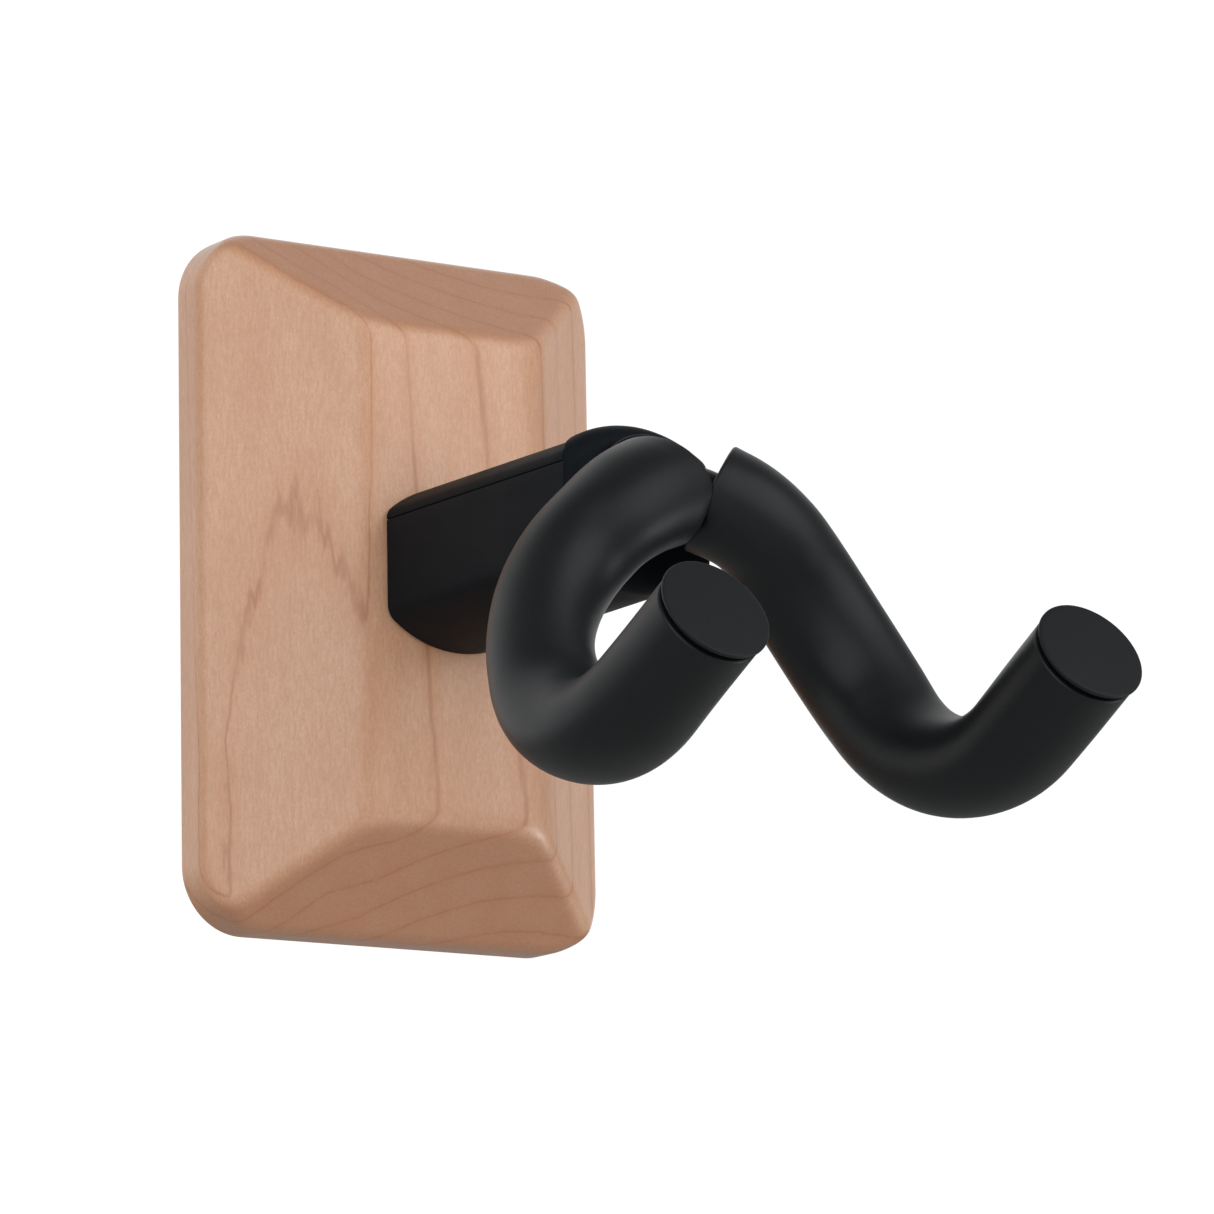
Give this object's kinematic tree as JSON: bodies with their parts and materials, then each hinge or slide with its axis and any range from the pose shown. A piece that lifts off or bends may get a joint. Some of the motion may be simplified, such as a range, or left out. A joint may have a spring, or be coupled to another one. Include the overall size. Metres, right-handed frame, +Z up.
{
  "type": "wall guitar hanger",
  "caption": "Wall hanger for a guitar: a bevelled wooden block carries a short arm with a swivelling padded yoke that holds the headstock.",
  "frame": {"origin": "middle of the flat back, on the wall plane", "axes": "+Z up, +Y into the wall, the yoke stands out towards -Y, +X to the right when facing the wall"},
  "size_m": [0.0952, 0.1642, 0.127],
  "materials": {
    "maple": "satin clear lacquer over pale maple",
    "zinc_steel": "zinc-plated",
    "black_steel": "black powder coat",
    "black_plastic": "fine moulded grain",
    "black_cast": "satin black paint",
    "nylon": "natural nylon",
    "sleeve_rubber": "soft satin rubber",
    "cap_plastic": "fine matte grain"
  },
  "bodies": {
    "hanger": {"mounting_block": "maple", "back_plate": "zinc_steel", "back_plate_screws": "zinc_steel", "support_channel": "black_steel", "end_plate": "black_steel", "housing_shell": "black_plastic", "top_cover": "black_plastic", "shell_screws": "black_steel", "pivot_bushing": "nylon", "thrust_washer": "nylon"},
    "yoke": {"swivel_hub": "black_cast", "pivot_stud": "zinc_steel", "spring_washer": "zinc_steel", "lock_nut": "zinc_steel", "stop_pin": "zinc_steel", "yoke_rod": "black_steel", "sleeve_left": "sleeve_rubber", "sleeve_right": "sleeve_rubber", "end_cap_left": "cap_plastic", "end_cap_right": "cap_plastic"}
  },
  "joints": [
    {"name": "yoke_swivel", "type": "hinge", "parent": "hanger", "child": "yoke", "pos_m": [0, -0.0845, 0.004], "axis": [0, 1, 0], "range_deg": [-40, 40]}
  ]
}
